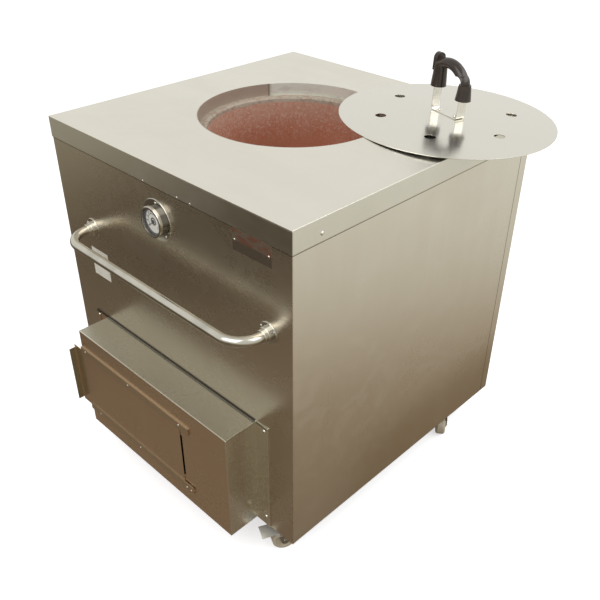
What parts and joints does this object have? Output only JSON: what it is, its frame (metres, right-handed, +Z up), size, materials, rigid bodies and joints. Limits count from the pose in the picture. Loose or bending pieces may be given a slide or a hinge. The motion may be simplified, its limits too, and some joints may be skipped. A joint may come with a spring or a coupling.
{
  "type": "tandoor oven",
  "caption": "Square stainless steel tandoor on swivel casters with a round mouth over a clay pot, a fire box with a sliding shutter, a push bar, a dial thermometer and a loose vented lid.",
  "frame": {"origin": "on the floor under the middle of the casing", "axes": "+Z up, -Y the front with the fire box, +X to the right seen from the front"},
  "size_m": [0.929, 1.0091, 1.0601],
  "materials": {
    "cover_steel": "satin brushed stainless",
    "casing_steel": "satin stainless",
    "polished_steel": "polished stainless",
    "frame_steel": "dark grey paint",
    "zinc_steel": "zinc plated",
    "screw_steel": "plain",
    "clay": "fired clay, speckled",
    "mortar": "rough",
    "firebrick": "rough",
    "tray_ceramic": "matt ceramic",
    "element_alloy": "oxidised alloy",
    "wool": "mineral wool",
    "terminal_plastic": "matt",
    "black_plastic": "matt",
    "bakelite": "glossy",
    "dial_face": "matt white",
    "pointer_black": "matt black",
    "lens_glass": "clear",
    "plate_steel": "fine satin",
    "wheel_polymer": "cream moulded"
  },
  "bodies": {
    "casing": {"top_cover": "cover_steel", "mouth_collar": "cover_steel", "front_panel": "casing_steel", "left_side_panel": "casing_steel", "right_side_panel": "casing_steel", "rear_panel": "casing_steel", "base_frame": "frame_steel", "floor_pan": "zinc_steel", "post_front_left": "zinc_steel", "post_front_right": "zinc_steel", "post_rear_left": "zinc_steel", "post_rear_right": "zinc_steel", "hearth_slab": "firebrick", "clay_pot": "clay", "mortar_ring": "mortar", "insulation": "wool", "heating_element": "element_alloy", "element_tray": "tray_ceramic", "terminal_block": "terminal_plastic", "cable_gland": "black_plastic", "air_duct": "zinc_steel", "fire_box": "casing_steel", "rail_top": "casing_steel", "rail_bottom": "casing_steel", "rail_rivets": "screw_steel", "casing_screws": "screw_steel", "thermometer_flange": "polished_steel", "thermometer_case": "polished_steel", "thermometer_bezel": "polished_steel", "thermometer_dial": "dial_face", "thermometer_lens": "lens_glass", "thermometer_stem": "polished_steel", "thermometer_screws": "screw_steel", "push_bar": "polished_steel", "bar_mount_left": "polished_steel", "bar_mount_right": "polished_steel", "bar_screws": "screw_steel", "nameplate": "plate_steel", "nameplate_rivets": "screw_steel", "caster_plates": "zinc_steel"},
    "shutter": {"shutter_plate": "casing_steel"},
    "pointer": {"thermometer_pointer": "pointer_black"},
    "lid": {"lid_disc": "cover_steel", "lid_strap": "polished_steel", "lid_grip": "bakelite", "lid_screws": "screw_steel"},
    "fork_front_left": {"caster_fork_front_left": "frame_steel", "caster_axle_front_left": "screw_steel"},
    "wheel_front_left": {"caster_wheel_front_left": "wheel_polymer"},
    "pedal_left": {"brake_pedal_left": "polished_steel"},
    "fork_front_right": {"caster_fork_front_right": "frame_steel", "caster_axle_front_right": "screw_steel"},
    "wheel_front_right": {"caster_wheel_front_right": "wheel_polymer"},
    "pedal_right": {"brake_pedal_right": "polished_steel"},
    "fork_rear_left": {"caster_fork_rear_left": "frame_steel", "caster_axle_rear_left": "screw_steel"},
    "wheel_rear_left": {"caster_wheel_rear_left": "wheel_polymer"},
    "fork_rear_right": {"caster_fork_rear_right": "frame_steel", "caster_axle_rear_right": "screw_steel"},
    "wheel_rear_right": {"caster_wheel_rear_right": "wheel_polymer"}
  },
  "joints": [
    {"name": "lid_lift", "type": "slide", "parent": "casing", "child": "lid", "axis": [0, 0, 1], "range_m": [0, 0.3]},
    {"name": "shutter_slide", "type": "slide", "parent": "casing", "child": "shutter", "axis": [1, 0, 0], "range_m": [-0.3, 0.016]},
    {"name": "pointer_turn", "type": "hinge", "parent": "casing", "child": "pointer", "pos_m": [-0.004, -0.405, 0.786], "axis": [0, -1, 0], "range_deg": [-265, 0]},
    {"name": "swivel_front_left", "type": "hinge", "parent": "casing", "child": "fork_front_left", "pos_m": [-0.35, -0.34, 0.08], "axis": [0, 0, 1], "continuous": true},
    {"name": "roll_front_left", "type": "hinge", "parent": "fork_front_left", "child": "wheel_front_left", "pos_m": [-0.36406, -0.36819, 0.031], "axis": [0.8949, -0.4462, 0], "continuous": true},
    {"name": "brake_left", "type": "hinge", "parent": "fork_front_left", "child": "pedal_left", "pos_m": [-0.37008, -0.38027, 0.059], "axis": [0.8949, -0.4462, 0], "range_deg": [0, 10]},
    {"name": "swivel_front_right", "type": "hinge", "parent": "casing", "child": "fork_front_right", "pos_m": [0.35, -0.34, 0.08], "axis": [0, 0, 1], "continuous": true},
    {"name": "roll_front_right", "type": "hinge", "parent": "fork_front_right", "child": "wheel_front_right", "pos_m": [0.33594, -0.36819, 0.031], "axis": [0.8949, -0.4462, 0], "continuous": true},
    {"name": "brake_right", "type": "hinge", "parent": "fork_front_right", "child": "pedal_right", "pos_m": [0.32992, -0.38027, 0.059], "axis": [0.8949, -0.4462, 0], "range_deg": [0, 10]},
    {"name": "swivel_rear_left", "type": "hinge", "parent": "casing", "child": "fork_rear_left", "pos_m": [-0.352, 0.262, 0.08], "axis": [0, 0, 1], "continuous": true},
    {"name": "roll_rear_left", "type": "hinge", "parent": "fork_rear_left", "child": "wheel_rear_left", "pos_m": [-0.33348, 0.23652, 0.031], "axis": [0.809, 0.5878, 0], "continuous": true},
    {"name": "swivel_rear_right", "type": "hinge", "parent": "casing", "child": "fork_rear_right", "pos_m": [0.352, 0.262, 0.08], "axis": [0, 0, 1], "continuous": true},
    {"name": "roll_rear_right", "type": "hinge", "parent": "fork_rear_right", "child": "wheel_rear_right", "pos_m": [0.37051, 0.23652, 0.031], "axis": [0.809, 0.5878, 0], "continuous": true}
  ]
}
